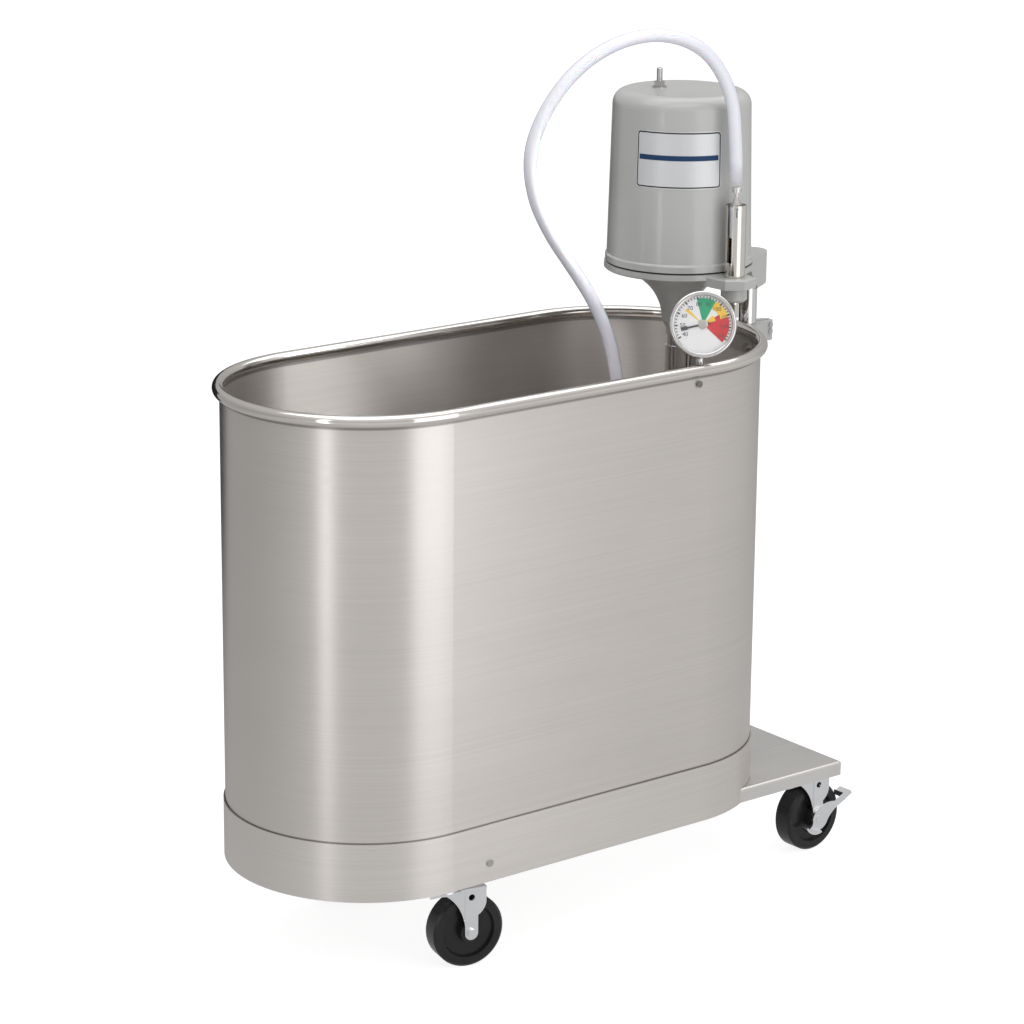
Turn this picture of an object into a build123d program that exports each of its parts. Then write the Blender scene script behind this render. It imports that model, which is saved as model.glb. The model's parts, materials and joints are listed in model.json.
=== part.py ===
from build123d import *
import math
import os

# Hydrotherapy leg tub: a stadium-shaped tank on a caster base, with a turbine that hangs from a post.
# X runs along the tank to the turbine's end, Y across it, Z up from the ground, all in millimetres.

# Clearances
seat_gap = 0.2        # between curved faces that seat on each other
running_gap = 0.06    # round a shaft or a pin that turns or slides
loose_gap = 0.3       # between faces of pieces that move past each other
screw_gap = 0.25      # round the shank of a bolt or screw

# Tank
tub_x = -72.0         # middle of the tank, from the middle of the whole footprint
tank_length = 813.0
tank_width = 381.0
tank_sheet = 1.8
floor_top = 171.0
cove_radius = 19.0
bead_z = 773.6
bead_radius = 8.0
bead_shift = 1.5      # bead's middle outside the wall's outer face
hole_reach = 4.0      # how far a cut runs on past the wall that it goes through
end_radius = tank_width / 2
end_x = tub_x + (tank_length - tank_width) / 2
wall_end_x = tub_x + tank_length / 2
floor_low = floor_top - tank_sheet
inner_radius = end_radius - tank_sheet

# Base skirt
skirt_gap = 0.5
skirt_sheet = 2.0
skirt_low = 130.0
skirt_top = 210.0
skirt_screw_z = 156.4
skirt_screw_radius = 2.75
skirt_screw_head = 5.0
skirt_screw_head_height = 2.0
skirt_screw_end = 3.0
skirt_screw_side = 40.0   # from the front channel's middle

# Caster platform and the cross members under the tank
platform_sheet = 2.5
platform_inset = 18.5     # its sides from the tank's widest line
platform_reach = 91.5     # past the wall's end
platform_tail = 120.0     # where it ends under the tank, from the tank's middle
platform_top = 150.0
platform_corner = 5.0
platform_bend = 4.0
notch_gap = 0.5
platform_width = tank_width - 2 * platform_inset
platform_end = wall_end_x + platform_reach
platform_start = tub_x + platform_tail
channel_sheet = 3.0
channel_inset = 0.3
bend_clearance = 2.0      # keeps a channel out of the inside of a fold
front_channel_back = 20.0 # from the start of the tank's round end
front_channel_x = 2 * tub_x - end_x + front_channel_back
skirt_screw_x = front_channel_x + skirt_screw_side
front_channel_width = 90.0
caster_inset = 40.0       # rear kingpins from the platform's end
rear_channel_x = platform_end - caster_inset
rear_channel_width = 2 * (caster_inset - platform_sheet - bend_clearance)
rear_channel_length = platform_width - 2 * (platform_sheet + bend_clearance + platform_corner)
saddle_back = 26.0        # from the start of the tank's round end
saddle_width = 40.0
saddle_inset = 40.5       # its ends from the tank's widest line
saddle_x = end_x - saddle_back
saddle_length = tank_width - 2 * saddle_inset
skirt_outer_width = tank_width + 2 * (skirt_gap + skirt_sheet)
front_channel_length = skirt_outer_width - 2 * skirt_sheet - 2 * channel_inset

# Casters
wheel_radius = 50.8
wheel_width = 30.0
wheel_hub_width = 41.0
wheel_hub_radius = 14.0
wheel_hub_draft = 1.5
wheel_dish_radius = 35.5
wheel_dish_slope = 2.0
wheel_dish_depth = 5.2
wheel_chamfer = 3.0
axle_radius = 4.8
axle_head = 6.4
axle_head_height = 4.0
trail = 35.0
plate_top = skirt_low
plate_sheet = 3.2
plate_length = 95.0
plate_width = 67.0
plate_corner = 6.0
race_radius = 29.0
race_height = 5.8
race_seat = 2.0           # the race is wider at the plate
race_belly = 4.0          # and widest halfway down
crown_sheet = 3.0
crown_radius = 31.0
fork_sheet = 2.6
fork_gap = 42.0
fork_foot = 9.5
fork_window = 4.5
fork_window_rise = 51.0   # above the axle
fork_back = 22.0          # top of the leg behind the axle
fork_front = -25.0        # front edge of the crown
fork_gusset = -2.0        # where the leg's front edge meets the crown
fork_waist = 24.0         # where the leg is narrow, above the axle
fork_flank = 42.0         # where its back edge starts to turn in, above the axle
fork_lip = 3.0
fork_bow = 3.0            # how far the back edge bows in over the waist
fork_press = 1.0          # the leg's middle strip stands proud of the gussets
kingpin_radius = 6.0
kingpin_head = 10.0
kingpin_head_height = 3.0
front_caster_inset = 52.5 # from the tank's widest line
rear_caster_inset = 65.0  # from the platform's side
front_caster_y = tank_width / 2 - front_caster_inset
rear_caster_y = platform_width / 2 - rear_caster_inset
fork_top = plate_top - plate_sheet - race_height - loose_gap
crown_top = fork_top - race_height
crown_low = crown_top - crown_sheet
fork_outer = fork_gap / 2 + fork_sheet

# Brake levers
lever_sheet = 3.0
lever_pedal_width = 23.0
lever_tab_width = 9.0
# Corners of the lever's outline, from the axle
lever_hub_back = (-13.0, 1.0)
lever_hub_top = (3.5, 19.3)
lever_hub_front = (16.5, -6.1)
lever_arm_top = (33.0, 19.4)
lever_arm_low = (37.0, 11.4)
lever_pedal_back = (51.0, 27.0)
lever_tab_root = (-3.0, -17.5)
lever_tab_tip = (-33.6, -6.4)
lever_tab_lip = (-31.5, -4.2)
lever_tab_heel = (-4.0, -14.5)

# Floor drain
drain_x = tub_x + 40.0
drain_flange = 34.0
drain_flange_height = 4.0
drain_thread = 19.6
drain_thread_length = 31.0
drain_tail = 19.05
drain_bore = 15.5
drain_end = 100.0
drain_nut_across = 56.0
drain_nut_height = 9.0
stopper_radius = 21.0
stopper_height = 9.0
stopper_knob = 5.0
stopper_knob_height = 9.0

# Thermometer on the near wall
dial_back = 11.0          # from the start of the tank's round end
dial_inset = 10.5         # from the wall's outer face
dial_z = 832.0
bezel_radius = 44.6
bezel_depth = 12.0
bezel_lip = 6.2
bezel_round = 2.4
dial_recess = 6.5
dial_sheet = 1.0
lens_sheet = 1.6
pointer_length = 30.0
pointer_tail = 9.0
pointer_sheet = 0.8
pointer_hub = 4.0
pointer_waist = 1.2
pointer_flag = 9.0        # length of the wide end
pointer_flag_half = 2.4
pointer_angle = 193.0     # where it points, from the dial's right
stem_radius = 3.175
stem_back = 13.0
stem_inset = 12.5
stem_top = 797.0
stem_low = 560.0
stem_boss_radius = 6.0
stem_boss_low = 787.0
stem_boss_root = 3.0      # how far the boss runs on into the case
clip_back = 24.7
clip_end = 7.0            # sheet beside the screw
clip_tail = 7.0           # sheet past the stem
clip_z = 754.7
clip_sheet = 2.0
clip_height = 14.0
clip_screw_radius = 2.3
clip_screw_head = 4.6
clip_screw_head_height = 2.4
clip_screw_end = 3.0
dial_x = end_x - dial_back
dial_y = dial_inset - tank_width / 2
stem_x = end_x - stem_back
stem_y = stem_inset - tank_width / 2
clip_x = end_x - clip_back

# Turbine post and its bracket on the end wall
post_reach = 39.5         # past the wall's end
post_radius = 12.7
post_low = 560.0
post_top = 866.0
post_x = wall_end_x + post_reach
bracket_low = 742.0
bracket_top = 769.5
hub_radius = 19.0
ear_reach = 44.0
ear_half = 12.0
ear_slit = 3.0
ear_slope = 11.0          # the ear's lower corner is cut back
saddle_plate = 6.0
saddle_half = 76.0
saddle_low = 728.0
saddle_top = 764.0
web_half = 13.0
clamp_screw_radius = 3.0
clamp_screw_head = 3.6
clamp_screw_head_height = 2.0
clamp_screw_heights = (755.0, 764.5)
clamp_screw_reach = 33.0
bracket_bolt_y = 63.5
bracket_bolt_z = 752.0
bracket_bolt_radius = 4.0
bracket_bolt_head = 7.0
bracket_bolt_head_height = 5.0
bracket_nut_across = 13.0
bracket_nut_height = 6.5
bracket_bolt_end = 2.0
strip_sheet = 2.0
strip_half = 76.0
strip_height = 20.0
collar_radius = 20.0
collar_height = 16.0
lift_travel = 150.0

# Turbine casting
arm_length = 131.0
turbine_x = post_x - arm_length
flange_radius = 103.3
flange_low = 866.0
flange_sheet = 9.0
flange_edge = 1.5
flange_top = flange_low + flange_sheet
spigot_radius = 95.0
spigot_height = 8.0
# Points of the bell neck: depth below the flange, radius
bell_profile = ((0.0, 62.0), (9.0, 57.5), (19.0, 48.5), (38.0, 31.8), (64.5, 22.3))
neck_length = 83.5
neck_radius = 21.0
neck_round = 8.0
neck_tip_radius = 16.4
neck_end = flange_low - neck_length
arm_hub_radius = 24.8
arm_drop = 40.0           # its underside below the flange
arm_step = 1.0            # its top below the flange's top
arm_root_half = 57.0
arm_root_depth = 4.0
arm_root_reach = 80.0     # where it meets the flange, from the turbine's axis
arm_round = 5.0
arm_low = flange_low - arm_drop
arm_top = flange_top - arm_step
bush_wall = 2.2
bush_length = 36.0
fit_gap = 0.02            # between round pieces pressed or seated together
lug_dx = -2.0             # from the turbine's axis
lug_y = -119.0
lug_step = 2.0            # its top below the flange's top
lug_sheet = 14.0
lug_bevel = 1.8
lug_corners = ((-32.0, -92.0), (-28.0, -132.0), (-7.0, -148.0), (20.0, -141.0), (30.0, -92.0))
lug_x = turbine_x + lug_dx
lug_top = flange_top - lug_step
lug_low = lug_top - lug_sheet
boss_radius = 18.0
boss_length = 19.5
boss_bevel = 3.0
boss_low = lug_low - boss_length
plug_ring = 7.5
plug_ring_height = 4.0
plug_across = 12.5
plug_length = 22.5
plug_stem = 11.0
plug_low = boss_low - plug_length

# Motor cover and what hangs on it
gasket_sheet = 2.5
gasket_inset = 1.0
cover_top = 1114.0
cover_foot_radius = 102.0
cover_foot_height = 11.0
cover_side_radius = 100.0
cover_top_radius = 94.7
cover_round = 20.0
cover_wall = 2.6
cover_low = flange_top + gasket_sheet
cover_foot_top = cover_low + cover_foot_height
stud_dx = -18.0
stud_dy = 27.0
stud_radius = 4.0
stud_above = 26.6
stud_bevel = 0.8
cover_nut_across = 13.0
cover_nut_height = 6.5
cover_washer_radius = 10.0
cover_washer = 1.8

# Motor
stator_radius = 89.0
stator_across = 164.0
stator_bore = 45.0
stator_height = 78.0
rotor_air_gap = 0.6
rotor_end = 3.0
shaft_radius = 6.0
bearing_radius = 16.0
bearing_height = 10.0
bridge_width = 80.0
bridge_length = 150.0
bridge_sheet = 6.0
bridge_rise = 24.0
bridge_leg = 12.0
bridge_hub = 21.0
gland_radius = 9.0
gland_length = 14.0
gland_stem = 6.0
gland_stem_length = 12.0
gland_bore = 3.5
gland_dx = -34.0
gland_dy = 72.0
gland_seat = flange_low
stator_low = flange_top + spigot_height
bridge_low = stator_low + stator_height + bridge_rise
bridge_lift = 1.0         # upper bearing above the bridge's underside
upper_bearing_low = bridge_low + bridge_lift
shaft_room = 4.0          # round the shaft inside the casting
shaft_end = 2.0           # shaft above its upper bearing
bush_radius = post_radius + running_gap + bush_wall
column_socket = 16.0
pump_collar = 24.0

# Column, riser and pump
column_radius = 15.875
column_wall = 1.6
column_shoulder = 756.0
column_neck = 13.5
collar_nut_radius = 15.8
collar_nut_height = 10.5
collar_nut_low = neck_end - collar_nut_height
column_step = 4.0         # column's foot above the pump's top
riser_radius = 6.35
riser_wall = 1.2
riser_dx = 19.0
riser_dy = -15.0
riser_top = 838.0
pump_radius = 44.0
pump_low = 205.0
pump_top = 276.0
pump_wall = 4.0
pump_shoulder = 17.6
pump_chamfer = 6.0
pump_intake = 24.0
pump_floor = 4.0
pump_shaft_room = 3.0
jet_radius = 13.0
jet_reach = 72.0
jet_z = 238.0
impeller_radius = 34.0
impeller_hub = 10.0
impeller_low = 226.0
impeller_height = 26.0
blade_count = 5
blade_sheet = 3.0
blade_root = 4.0          # blades run on into the hub
blade_angle = 24.0

# Selector sleeve, hose nipple and hose
sleeve_radius = 14.3
sleeve_wall = 1.6
sleeve_top = 972.0
sleeve_slot = 9.0
sleeve_slot_low = 882.0
sleeve_wedge = 13.0
sleeve_slot_angle = 193.0
keyhole_radius = 2.2
keyhole_z = 968.0
keyhole_tail = 11.0
keyhole_tail_width = 2.0
keyhole_angle = 232.0
nipple_base = 20.0
nipple_shoulder = 8.0
nipple_seat = 927.0
nipple_radius = 6.9
nipple_grip = 45.0        # straight part inside the hose
nipple_cone = 10.0
nipple_waist = 2.8
nipple_waist_length = 6.0
nipple_lip = 6.6
nipple_lip_bevel = 1.0
nipple_lip_height = 8.0
nipple_top = nipple_seat + nipple_grip + nipple_cone + nipple_waist_length + nipple_lip_height
hose_radius = 9.0
hose_bore = 7.0
hose_bore_end = 2.0       # bore past the nipple's lip
hose_mouth = 40.0         # depth of the bore shown at the free end


def stadium(length, width):
    """The tank's plan outline, drawn in the open sketch."""
    with Locations((tub_x, 0)):
        SlotOverall(length, width)


def wall_plane(y, z, radius=end_radius):
    """A plane on the motor's end of the wall, facing outward, at the given height."""
    turn = math.asin(y / radius)
    out = Vector(math.cos(turn), math.sin(turn), 0)
    return Plane(origin=Vector(end_x, 0, z) + out * radius, x_dir=(-out.Y, out.X, 0), z_dir=out)


bolt_planes = [wall_plane(y, bracket_bolt_z) for y in (-bracket_bolt_y, bracket_bolt_y)]
screw_planes = [
    Plane(origin=(skirt_screw_x, side * skirt_outer_width / 2, skirt_screw_z), z_dir=(0, side, 0))
    for side in (-1, 1)
]
clip_plane = Plane(origin=(clip_x, -tank_width / 2, clip_z), z_dir=(0, -1, 0))

# Tank: wall, coved floor and rolled rim bead
bead_path_length = tank_length + 2 * bead_shift
bead_path_width = tank_width + 2 * bead_shift
with BuildSketch(Plane.XY.offset(bead_z)) as bead_line:
    stadium(bead_path_length, bead_path_width)
bead_path = bead_line.sketch.face().outer_wire()

with BuildPart() as tank_shell:
    with BuildSketch(Plane.XY.offset(floor_low)):
        stadium(tank_length, tank_width)
    extrude(amount=bead_z - floor_low)
    fillet(tank_shell.faces().sort_by(Axis.Z)[0].edges(), cove_radius + tank_sheet)
    offset(amount=-tank_sheet, openings=tank_shell.faces().sort_by(Axis.Z)[-1])
    with BuildSketch(Plane(origin=bead_path @ 0, z_dir=bead_path % 0)):
        Circle(bead_radius)
    sweep(path=bead_path)
    with BuildSketch(Plane.XY.offset(floor_low)):
        with Locations((drain_x, 0)):
            Circle(drain_thread + screw_gap)
    extrude(amount=tank_sheet, mode=Mode.SUBTRACT)
    with BuildSketch(*bolt_planes):
        Circle(bracket_bolt_radius + screw_gap)
    extrude(amount=-tank_sheet - hole_reach, mode=Mode.SUBTRACT)
    with BuildSketch(clip_plane):
        Circle(clip_screw_radius + screw_gap)
    extrude(amount=-tank_sheet - hole_reach, mode=Mode.SUBTRACT)

# Base skirt: a band round the foot, notched for the platform
skirt_length = tank_length + 2 * (skirt_gap + skirt_sheet)
with BuildPart() as base_skirt:
    with BuildSketch(Plane.XY.offset(skirt_low)):
        stadium(skirt_length, skirt_outer_width)
        with Locations((tub_x, 0)):
            SlotOverall(
                skirt_length - 2 * skirt_sheet, skirt_outer_width - 2 * skirt_sheet, mode=Mode.SUBTRACT
            )
    extrude(amount=skirt_top - skirt_low)
    with BuildSketch(Plane.XY.offset(skirt_low)):
        with Locations((end_x, 0)):
            Rectangle(skirt_length, platform_width + 2 * notch_gap, align=(Align.MIN, Align.CENTER))
    extrude(amount=platform_top + notch_gap - skirt_low, mode=Mode.SUBTRACT)
    with BuildSketch(*screw_planes):
        Circle(skirt_screw_radius + screw_gap)
    extrude(amount=-skirt_sheet, mode=Mode.SUBTRACT)

# Platform: one folded sheet that runs on under the tank
with BuildPart() as platform:
    with BuildSketch(Plane.XY.offset(skirt_low)):
        with Locations((platform_end, 0)):
            Rectangle(platform_end - platform_start, platform_width, align=(Align.MAX, Align.CENTER))
    extrude(amount=platform_top - skirt_low)
    fillet(platform.edges().filter_by(Axis.Z).group_by(Axis.X)[-1], platform_corner)
    top_edges = platform.faces().sort_by(Axis.Z)[-1].edges().sort_by(Axis.X)
    fillet(top_edges[1:], platform_bend)
    offset(
        amount=-platform_sheet,
        openings=[platform.faces().sort_by(Axis.Z)[0], platform.faces().sort_by(Axis.X)[0]],
    )

# Cross members: channels that carry the casters, and a bar between platform and floor
channels = {
    "front_channel": (front_channel_x, front_channel_width, front_channel_length, floor_low),
    "platform_channel": (
        rear_channel_x, rear_channel_width, rear_channel_length, platform_top - platform_sheet
    ),
}
caster_spots = {
    "left_front": (front_channel_x, -front_caster_y, -12),
    "left_back": (front_channel_x, front_caster_y, 8),
    "right_front": (rear_channel_x, -rear_caster_y, 2),
    "right_back": (rear_channel_x, rear_caster_y, -6),
}
pieces = {}
for name, (x, width, length, top) in channels.items():
    with BuildPart() as channel:
        with BuildSketch(Plane.XZ):
            with Locations((x, skirt_low)):
                Rectangle(width, top - skirt_low, align=(Align.CENTER, Align.MIN))
            with Locations((x, skirt_low + channel_sheet)):
                Rectangle(width - 2 * channel_sheet, top, align=(Align.CENTER, Align.MIN), mode=Mode.SUBTRACT)
        extrude(amount=length / 2, both=True)
        with BuildSketch(Plane.XY.offset(skirt_low)):
            with Locations([(cx, cy) for cx, cy, turn in caster_spots.values()]):
                Circle(kingpin_radius + screw_gap)
        extrude(amount=channel_sheet, mode=Mode.SUBTRACT)
        if name == "front_channel":
            with BuildSketch(Plane.XZ.offset(length / 2), Plane.XZ.offset(-length / 2 + channel_sheet)):
                with Locations((x, skirt_low)):
                    Rectangle(width, top - skirt_low, align=(Align.CENTER, Align.MIN))
            extrude(amount=-channel_sheet)
            with BuildSketch(*screw_planes):
                Circle(skirt_screw_radius + screw_gap)
            extrude(amount=-skirt_sheet - channel_inset - channel_sheet - skirt_screw_end, mode=Mode.SUBTRACT)
            with BuildSketch(Plane.XY.offset(skirt_low)):
                inset = 2 * (skirt_sheet + channel_inset)
                stadium(skirt_length - inset, skirt_outer_width - inset)
            extrude(amount=top - skirt_low, mode=Mode.INTERSECT)
    pieces[name] = channel.part

with BuildPart() as rear_saddle:
    with BuildSketch(Plane.XY.offset(platform_top)):
        with Locations((saddle_x, 0)):
            Rectangle(saddle_width, saddle_length)
            Rectangle(saddle_width - 2 * channel_sheet, saddle_length - 2 * channel_sheet, mode=Mode.SUBTRACT)
    extrude(amount=floor_low - platform_top)

# Screws of the skirt
with BuildPart() as skirt_screws:
    with BuildSketch(*screw_planes):
        Circle(skirt_screw_head)
    extrude(amount=skirt_screw_head_height)
    with BuildSketch(*screw_planes):
        Circle(skirt_screw_radius)
    extrude(amount=-skirt_sheet - channel_inset - channel_sheet - skirt_screw_end)

# Caster pieces, made at the origin with the wheel behind the kingpin along +X
with BuildPart() as caster_plate:
    with BuildSketch(Plane.XY.offset(plate_top - plate_sheet)):
        RectangleRounded(plate_width, plate_length, plate_corner)
        Circle(kingpin_radius + screw_gap, mode=Mode.SUBTRACT)
    extrude(amount=plate_sheet)
    with BuildSketch(Plane.XZ):
        with BuildLine():
            Polyline(
                (kingpin_radius + screw_gap, plate_top - plate_sheet),
                (race_radius + race_seat, plate_top - plate_sheet),
                (race_radius + race_belly, plate_top - plate_sheet - race_height / 2),
                (race_radius, plate_top - plate_sheet - race_height),
                (kingpin_radius + screw_gap, plate_top - plate_sheet - race_height),
                close=True,
            )
        make_face()
    revolve(axis=Axis.Z)

with BuildPart() as kingpin:
    with BuildSketch(Plane.XY.offset(crown_low - kingpin_head_height)):
        Circle(kingpin_head)
    extrude(amount=kingpin_head_height)
    with BuildSketch(Plane.XY.offset(crown_low)):
        Circle(kingpin_radius)
    extrude(amount=plate_top + channel_sheet + kingpin_head_height - crown_low)
    with BuildSketch(Plane.XY.offset(plate_top + channel_sheet)):
        Circle(kingpin_head)
    extrude(amount=kingpin_head_height)

leg_face = Plane.XZ.offset(fork_outer)
foot = (trail, wheel_radius)
with BuildPart() as fork:
    with BuildSketch(leg_face):
        with BuildLine():
            Polyline(
                (trail + fork_foot, wheel_radius),
                (trail + fork_foot, wheel_radius + fork_waist),
            )
            ThreePointArc(
                (trail + fork_foot, wheel_radius + fork_waist),
                (trail + fork_back - fork_bow, wheel_radius + (fork_waist + fork_flank) / 2),
                (trail + fork_back, wheel_radius + fork_flank),
            )
            Polyline(
                (trail + fork_back, wheel_radius + fork_flank),
                (trail + fork_back, crown_top),
                (fork_front, crown_top),
                (fork_front, crown_low - fork_lip),
                (fork_gusset, crown_low - fork_lip),
            )
            ThreePointArc(
                (fork_gusset, crown_low - fork_lip),
                (trail - 2 * fork_foot, wheel_radius + fork_flank - fork_lip),
                (trail - fork_foot, wheel_radius + fork_foot),
            )
            Line((trail - fork_foot, wheel_radius + fork_foot), (trail - fork_foot, wheel_radius))
            ThreePointArc(
                (trail - fork_foot, wheel_radius),
                (trail, wheel_radius - fork_foot),
                (trail + fork_foot, wheel_radius),
            )
        make_face()
        with Locations(foot):
            Circle(axle_radius, mode=Mode.SUBTRACT)
        with Locations((trail, wheel_radius + fork_window_rise)):
            Circle(fork_window, mode=Mode.SUBTRACT)
    extrude(amount=-fork_sheet)
    with BuildSketch(leg_face):
        with Locations((trail - fork_foot, crown_low)):
            Rectangle(fork_gap, fork_gap, align=(Align.MAX, Align.MAX))
        with Locations((trail + fork_foot, crown_low)):
            Rectangle(fork_gap, fork_gap, align=(Align.MIN, Align.MAX))
    extrude(amount=-fork_press, mode=Mode.SUBTRACT)
    mirror(about=Plane.XZ)
    with BuildSketch(Plane.XY.offset(crown_low)):
        with Locations((fork_front, 0)):
            Rectangle(trail + fork_back - fork_front, 2 * fork_outer, align=(Align.MIN, Align.CENTER))
        Circle(crown_radius)
    extrude(amount=crown_sheet)
    with BuildSketch(Plane.XY.offset(crown_top)):
        Circle(race_radius)
    extrude(amount=race_height)
    with BuildSketch(Plane.XY.offset(crown_low)):
        Circle(kingpin_radius + running_gap)
    extrude(amount=crown_sheet + race_height, mode=Mode.SUBTRACT)

with BuildPart() as axle:
    with BuildSketch(Plane.XZ.offset(-fork_outer)):
        with Locations(foot):
            Circle(axle_radius)
    extrude(amount=2 * fork_outer)
    with BuildSketch(leg_face, Plane.XZ.offset(-fork_outer - axle_head_height)):
        with Locations(foot):
            Circle(axle_head)
    extrude(amount=axle_head_height)

with BuildPart() as wheel:
    with BuildSketch(Plane.XY):
        with BuildLine():
            Polyline(
                (axle_radius + running_gap, 0),
                (axle_radius + running_gap, wheel_hub_width / 2),
                (wheel_hub_radius, wheel_hub_width / 2),
                (wheel_hub_radius + wheel_hub_draft, wheel_width / 2 - wheel_dish_depth),
                (wheel_dish_radius, wheel_width / 2 - wheel_dish_depth),
                (wheel_dish_radius + wheel_dish_slope, wheel_width / 2),
                (wheel_radius - wheel_chamfer, wheel_width / 2),
                (wheel_radius, wheel_width / 2 - wheel_chamfer),
                (wheel_radius, 0),
                close=True,
            )
        make_face()
        mirror(about=Plane.XZ)
    revolve(axis=Axis.Y)
wheel_shape = wheel.part.moved(Location((trail, 0, wheel_radius)))

# Brake lever, drawn from the axle: a hub with an arm up to the pedal and a curved tab below
lever_plane = Plane(
    origin=(trail, -fork_outer - loose_gap - lever_sheet, wheel_radius), x_dir=(1, 0, 0), z_dir=(0, -1, 0)
)
with BuildPart() as lever:
    with BuildSketch(lever_plane):
        with BuildLine():
            ThreePointArc(lever_hub_back, (-7, 12.5), lever_hub_top)
            ThreePointArc(lever_hub_top, (18, 21.7), lever_arm_top)
            Polyline(lever_arm_top, lever_pedal_back, (54, 18.5), lever_arm_low)
            ThreePointArc(lever_arm_low, (25, 3.6), lever_hub_front)
            ThreePointArc(lever_hub_front, (9, -14.8), lever_tab_root)
            ThreePointArc(lever_tab_root, (-20, -17.5), lever_tab_tip)
            Line(lever_tab_tip, lever_tab_lip)
            ThreePointArc(lever_tab_lip, (-21, -12.5), lever_hub_back)
        make_face()
        Circle(axle_head + running_gap, mode=Mode.SUBTRACT)
    extrude(amount=-lever_sheet)
    with BuildSketch(lever_plane):
        Polygon(lever_pedal_back, (52.5, 18.5), (65.5, 24.5), (63.5, 28.8), (54, 24.6), align=None)
    extrude(amount=-lever_pedal_width)
    with BuildSketch(lever_plane):
        with BuildLine():
            ThreePointArc(lever_tab_root, (-20, -17.5), lever_tab_tip)
            Line(lever_tab_tip, lever_tab_lip)
            ThreePointArc(lever_tab_lip, (-19.5, -14), lever_tab_heel)
            Line(lever_tab_heel, lever_tab_root)
        make_face()
    extrude(amount=lever_tab_width)

plates = []
kingpins = []
for name, (x, y, turn) in caster_spots.items():
    place = Location((x, y, 0), (0, 0, turn))
    plates.append(caster_plate.part.moved(Location((x, y, 0))))
    kingpins.append(kingpin.part.moved(Location((x, y, 0))))
    pieces[f"{name}_fork"] = fork.part.moved(place)
    pieces[f"{name}_axle"] = axle.part.moved(place)
    pieces[f"{name}_wheel"] = wheel_shape.moved(place)
    if name.startswith("right"):
        lever_shape = lever.part if y < 0 else lever.part.mirror(Plane.XZ)
        pieces[f"{name}_brake_lever"] = lever_shape.moved(place)
pieces["caster_plates"] = Compound(children=plates)
pieces["caster_kingpins"] = Compound(children=kingpins)

# Floor drain: strainer body, locknut under the floor and lift-out stopper
with BuildPart() as drain_body:
    with BuildSketch(Plane.XY.offset(floor_top)):
        with Locations((drain_x, 0)):
            Circle(drain_flange)
    extrude(amount=drain_flange_height)
    with BuildSketch(Plane.XY.offset(floor_top)):
        with Locations((drain_x, 0)):
            Circle(drain_thread)
    extrude(amount=-drain_thread_length)
    with BuildSketch(Plane.XY.offset(drain_end)):
        with Locations((drain_x, 0)):
            Circle(drain_tail)
    extrude(amount=floor_top - drain_end)
    with BuildSketch(Plane.XY.offset(drain_end)):
        with Locations((drain_x, 0)):
            Circle(drain_bore)
    extrude(amount=floor_top + drain_flange_height - drain_end, mode=Mode.SUBTRACT)

with BuildPart() as drain_nut:
    with BuildSketch(Plane.XY.offset(floor_low - drain_nut_height)):
        with Locations((drain_x, 0)):
            RegularPolygon(drain_nut_across / 2, 6, major_radius=False)
            Circle(drain_thread + running_gap, mode=Mode.SUBTRACT)
    extrude(amount=drain_nut_height)

with BuildPart() as drain_stopper:
    with BuildSketch(Plane.XY.offset(floor_top + drain_flange_height + loose_gap)):
        with Locations((drain_x, 0)):
            Circle(stopper_radius)
    extrude(amount=stopper_height)
    with BuildSketch(Plane.XY.offset(floor_top + drain_flange_height + loose_gap + stopper_height)):
        with Locations((drain_x, 0)):
            Circle(stopper_knob)
    extrude(amount=stopper_knob_height)
    with BuildSketch(Plane.XY.offset(floor_low)):
        with Locations((drain_x, 0)):
            Circle(drain_bore - loose_gap)
    extrude(amount=floor_top + drain_flange_height + loose_gap - floor_low)

# Thermometer, whose dial faces forward, to the left and a little up
dial_plane = Plane(origin=(dial_x, dial_y, dial_z), x_dir=(0.788, -0.6157, 0), z_dir=(-0.592, -0.758, 0.2744))
with BuildPart() as thermometer_case:
    with BuildSketch(dial_plane.offset(dial_recess - bezel_depth)):
        Circle(bezel_radius)
    extrude(amount=bezel_depth)
    with BuildSketch(dial_plane):
        Circle(bezel_radius - bezel_lip)
    extrude(amount=dial_recess, mode=Mode.SUBTRACT)
    dial_axis = Axis(dial_plane.origin, dial_plane.z_dir)
    front = thermometer_case.faces().filter_by(GeomType.PLANE).sort_by(dial_axis)[-1]
    fillet(front.edges(), bezel_round)
    with BuildSketch(Plane.XY.offset(stem_boss_low)):
        with Locations((stem_x, stem_y)):
            Circle(stem_boss_radius)
    extrude(amount=stem_top - stem_boss_low + stem_boss_root)
    with BuildSketch(Plane.XY.offset(stem_boss_low)):
        with Locations((stem_x, stem_y)):
            Circle(stem_radius)
    extrude(amount=stem_top - stem_boss_low, mode=Mode.SUBTRACT)

with BuildPart() as thermometer_dial:
    with BuildSketch(dial_plane):
        Circle(bezel_radius - bezel_lip - seat_gap)
    extrude(amount=dial_sheet)

pointer_z = dial_sheet + loose_gap
with BuildPart() as thermometer_lens:
    with BuildSketch(dial_plane.offset(pointer_z + pointer_sheet + loose_gap)):
        Circle(bezel_radius - bezel_lip - seat_gap)
    extrude(amount=lens_sheet)

with BuildPart() as thermometer_pointer:
    with BuildSketch(dial_plane.offset(pointer_z)):
        with Locations(Rotation(0, 0, pointer_angle)):
            with Locations(((pointer_length - pointer_tail) / 2, 0)):
                Rectangle(pointer_length + pointer_tail, 2 * pointer_waist)
            with Locations((pointer_length - pointer_flag / 2, 0)):
                Rectangle(pointer_flag, 2 * pointer_flag_half)
        Circle(pointer_hub)
    extrude(amount=pointer_sheet)

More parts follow.
